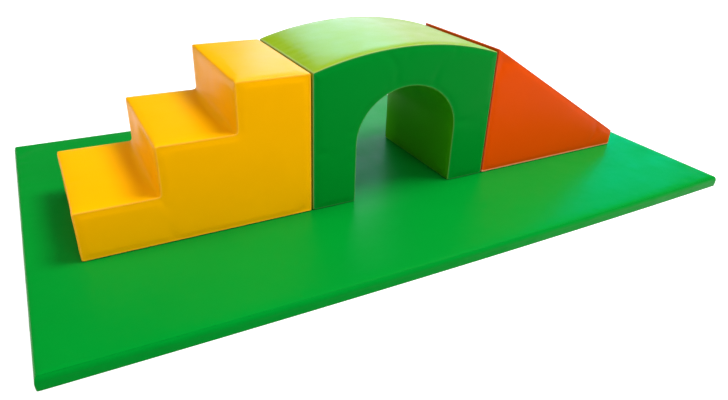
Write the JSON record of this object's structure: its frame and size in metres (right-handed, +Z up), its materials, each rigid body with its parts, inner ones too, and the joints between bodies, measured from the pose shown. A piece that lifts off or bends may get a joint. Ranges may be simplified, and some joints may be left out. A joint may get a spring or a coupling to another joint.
{
  "type": "soft play foam climber",
  "caption": "Padded play set of vinyl-covered foam: stairs, an arched tunnel bridge and a slide wedge in a row on a thick floor mat.",
  "frame": {"origin": "middle of the mat's underside, on the floor", "axes": "+X runs along the row from the stairs to the slide, +Y runs from front to back, +Z is up"},
  "size_m": [3.14, 1.8177, 0.7353],
  "materials": {
    "yellow_vinyl": "satin",
    "dark_green_vinyl": "satin",
    "lime_vinyl": "satin",
    "orange_vinyl": "satin",
    "mat_green_vinyl": "satin",
    "anti_slip_vinyl": "matte",
    "foam": "matte",
    "hook_and_loop": "matte",
    "zip_tape": "matte",
    "zip_metal": "satin"
  },
  "bodies": {
    "mat": {"mat_foam_core": "foam", "mat_top_panel": "mat_green_vinyl", "mat_side_band": "mat_green_vinyl", "mat_base_panel": "anti_slip_vinyl", "mat_zip_chain": "zip_tape"},
    "mat_zip_slider": {"mat_zip_slider": "zip_metal"},
    "mat_zip_pull": {"mat_zip_pull": "zip_metal"},
    "stairs": {"stairs_foam_core": "foam", "stairs_front_panel": "yellow_vinyl", "stairs_rear_panel": "yellow_vinyl", "stairs_tread_cover": "yellow_vinyl", "stairs_end_panel": "yellow_vinyl", "stairs_base_panel": "anti_slip_vinyl", "stairs_loop_strip": "hook_and_loop", "stairs_zip_chain": "zip_tape"},
    "stairs_zip_slider": {"stairs_zip_slider": "zip_metal"},
    "stairs_zip_pull": {"stairs_zip_pull": "zip_metal"},
    "tunnel": {"tunnel_foam_core": "foam", "tunnel_front_panel": "dark_green_vinyl", "tunnel_rear_panel": "dark_green_vinyl", "tunnel_top_cover": "lime_vinyl", "tunnel_left_end_panel": "lime_vinyl", "tunnel_right_end_panel": "lime_vinyl", "tunnel_lining": "lime_vinyl", "tunnel_left_base_panel": "anti_slip_vinyl", "tunnel_right_base_panel": "anti_slip_vinyl", "tunnel_left_hook_strip": "hook_and_loop", "tunnel_right_hook_strip": "hook_and_loop", "tunnel_zip_chain": "zip_tape"},
    "tunnel_zip_slider": {"tunnel_zip_slider": "zip_metal"},
    "tunnel_zip_pull": {"tunnel_zip_pull": "zip_metal"},
    "slide": {"slide_foam_core": "foam", "slide_front_panel": "orange_vinyl", "slide_rear_panel": "orange_vinyl", "slide_slope_cover": "orange_vinyl", "slide_toe_panel": "orange_vinyl", "slide_end_panel": "orange_vinyl", "slide_base_panel": "anti_slip_vinyl", "slide_loop_strip": "hook_and_loop", "slide_zip_chain": "zip_tape"},
    "slide_zip_slider": {"slide_zip_slider": "zip_metal"},
    "slide_zip_pull": {"slide_zip_pull": "zip_metal"}
  },
  "joints": [
    {"name": "stairs_lift", "type": "slide", "parent": "mat", "child": "stairs", "axis": [0, 0, 1], "range_m": [0, 0.7]},
    {"name": "tunnel_lift", "type": "slide", "parent": "mat", "child": "tunnel", "axis": [0, 0, 1], "range_m": [0, 0.7]},
    {"name": "slide_lift", "type": "slide", "parent": "mat", "child": "slide", "axis": [0, 0, 1], "range_m": [0, 0.7]},
    {"name": "mat_zip_run", "type": "slide", "parent": "mat", "child": "mat_zip_slider", "axis": [-1, 0, 0], "range_m": [0, 1.376], "deforming": ["mat_zip_chain"]},
    {"name": "mat_zip_pull_swing", "type": "hinge", "parent": "mat_zip_slider", "child": "mat_zip_pull", "pos_m": [0.688, 0.9103, 0.0265], "axis": [0, 0, 1], "range_deg": [0, 150]},
    {"name": "stairs_zip_run", "type": "slide", "parent": "stairs", "child": "stairs_zip_slider", "axis": [-1, 0, 0], "range_m": [0, 0.576], "deforming": ["stairs_zip_chain"]},
    {"name": "stairs_zip_pull_swing", "type": "hinge", "parent": "stairs_zip_slider", "child": "stairs_zip_pull", "pos_m": [-0.639, 0.2503, 0.0748], "axis": [0, 0, 1], "range_deg": [0, 150]},
    {"name": "tunnel_zip_run", "type": "slide", "parent": "tunnel", "child": "tunnel_zip_slider", "axis": [0, 0, 1], "range_m": [0, 0.476], "deforming": ["tunnel_zip_chain"]},
    {"name": "tunnel_zip_pull_swing", "type": "hinge", "parent": "tunnel_zip_slider", "child": "tunnel_zip_pull", "pos_m": [-0.4425, 0.2503, 0.1153], "axis": [1, 0, 0], "range_deg": [0, 150]},
    {"name": "slide_zip_run", "type": "slide", "parent": "slide", "child": "slide_zip_slider", "axis": [-1, 0, 0], "range_m": [0, 0.576], "deforming": ["slide_zip_chain"]},
    {"name": "slide_zip_pull_swing", "type": "hinge", "parent": "slide_zip_slider", "child": "slide_zip_pull", "pos_m": [1.211, 0.2503, 0.0748], "axis": [0, 0, 1], "range_deg": [0, 150]}
  ]
}
